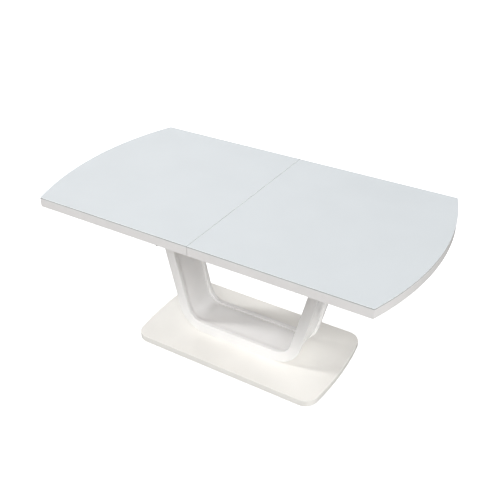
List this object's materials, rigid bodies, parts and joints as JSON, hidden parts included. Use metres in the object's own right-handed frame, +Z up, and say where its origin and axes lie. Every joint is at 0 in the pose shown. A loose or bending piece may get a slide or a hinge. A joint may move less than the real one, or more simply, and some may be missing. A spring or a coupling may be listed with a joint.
{
  "type": "extendable dining table",
  "caption": "Extendable dining table: two-piece frosted glass top with bowed ends on a white U-shaped pedestal and flat base plate; the halves slide apart over a stored folding leaf",
  "frame": {"origin": "on the floor under the middle of the closed table", "axes": "+X along the length towards the right-hand half, +Y towards the rear long side, +Z up"},
  "size_m": [1.6298, 0.9, 0.75],
  "materials": {
    "white_lacquer": "MDF and bent plywood in high-gloss white lacquer",
    "frosted_glass": "tempered glass, back-painted white and acid-etched satin on top, polished edge",
    "softwood_block": "planed softwood spacer blocks",
    "beech": "planed and oiled beech",
    "zinc_steel": "bright zinc-plated steel",
    "runner_aluminium": "clear anodised aluminium extrusion",
    "black_nylon": "moulded black nylon",
    "felt": "dense grey felt"
  },
  "bodies": {
    "base_frame": {"base_glides": "felt", "base_plate": "white_lacquer", "frame_screws": "zinc_steel", "front_side_beam": "beech", "leaf_arm_stands": "zinc_steel", "leaf_felt_pads": "felt", "leaf_glasses": "frosted_glass", "leaf_hinge_plates": "zinc_steel", "leaf_lift_arms": "zinc_steel", "leaf_lower_board": "white_lacquer", "leaf_pins": "zinc_steel", "leaf_rails": "beech", "leaf_upper_board": "white_lacquer", "left_cross_rail": "beech", "leg_brackets": "zinc_steel", "leg_fixings": "zinc_steel", "pedestal_bolts": "zinc_steel", "pedestal_core_blocks": "softwood_block", "pedestal_foot_block": "white_lacquer", "pedestal_front_panel": "white_lacquer", "pedestal_inner_skin": "white_lacquer", "pedestal_outer_skin": "white_lacquer", "pedestal_rear_panel": "white_lacquer", "rear_side_beam": "beech", "right_cross_rail": "beech", "runner_outer_channels": "runner_aluminium", "sync_axle": "zinc_steel", "sync_bracket": "runner_aluminium"},
    "left_top": {"left_board": "white_lacquer", "left_glass": "frosted_glass", "left_front_strip": "white_lacquer", "left_rear_strip": "white_lacquer", "left_seam_strip": "white_lacquer", "left_end_strip": "white_lacquer", "left_slide_angles": "zinc_steel", "left_angle_screws": "zinc_steel", "left_runner_inners": "runner_aluminium", "left_rack": "black_nylon", "left_rack_hangers": "beech", "seam_pins": "zinc_steel", "lock_posts": "zinc_steel"},
    "right_top": {"right_board": "white_lacquer", "right_glass": "frosted_glass", "right_front_strip": "white_lacquer", "right_rear_strip": "white_lacquer", "right_seam_strip": "white_lacquer", "right_end_strip": "white_lacquer", "right_slide_angles": "zinc_steel", "right_angle_screws": "zinc_steel", "right_runner_inners": "runner_aluminium", "right_rack": "black_nylon", "right_rack_hangers": "beech", "seam_bushes": "black_nylon", "lock_keepers": "zinc_steel"},
    "left_middle_runners": {"left_runner_middles": "runner_aluminium"},
    "right_middle_runners": {"right_runner_middles": "runner_aluminium"},
    "pinion": {"sync_pinion": "black_nylon"},
    "front_lock": {"front_lock_lever": "zinc_steel"},
    "rear_lock": {"rear_lock_lever": "zinc_steel"}
  },
  "joints": [
    {"name": "left_top_slide", "type": "slide", "parent": "base_frame", "child": "left_top", "axis": [-1, 0, 0], "range_m": [0, 0.21]},
    {"name": "right_top_slide", "type": "slide", "parent": "base_frame", "child": "right_top", "axis": [1, 0, 0], "range_m": [0, 0.21]},
    {"name": "left_middle_slide", "type": "slide", "parent": "base_frame", "child": "left_middle_runners", "axis": [-1, 0, 0], "range_m": [0, 0.105]},
    {"name": "right_middle_slide", "type": "slide", "parent": "base_frame", "child": "right_middle_runners", "axis": [1, 0, 0], "range_m": [0, 0.105]},
    {"name": "sync_pinion_spin", "type": "hinge", "parent": "base_frame", "child": "pinion", "pos_m": [0, 0.247, 0.678], "axis": [0, -1, 0], "range_deg": [0, 1003]},
    {"name": "front_lock_hinge", "type": "hinge", "parent": "left_top", "child": "front_lock", "pos_m": [-0.08, -0.392, 0.703], "axis": [0, 0, -1], "range_deg": [0, 22]},
    {"name": "rear_lock_hinge", "type": "hinge", "parent": "left_top", "child": "rear_lock", "pos_m": [-0.08, 0.392, 0.703], "axis": [0, 0, 1], "range_deg": [0, 22]}
  ],
  "couplings": [
    {"joint": "right_top_slide", "follows": "left_top_slide", "ratio": 1},
    {"joint": "left_middle_slide", "follows": "left_top_slide", "ratio": 0.5},
    {"joint": "right_middle_slide", "follows": "left_top_slide", "ratio": 0.5},
    {"joint": "sync_pinion_spin", "follows": "left_top_slide", "rad_per_m": 83.333}
  ]
}
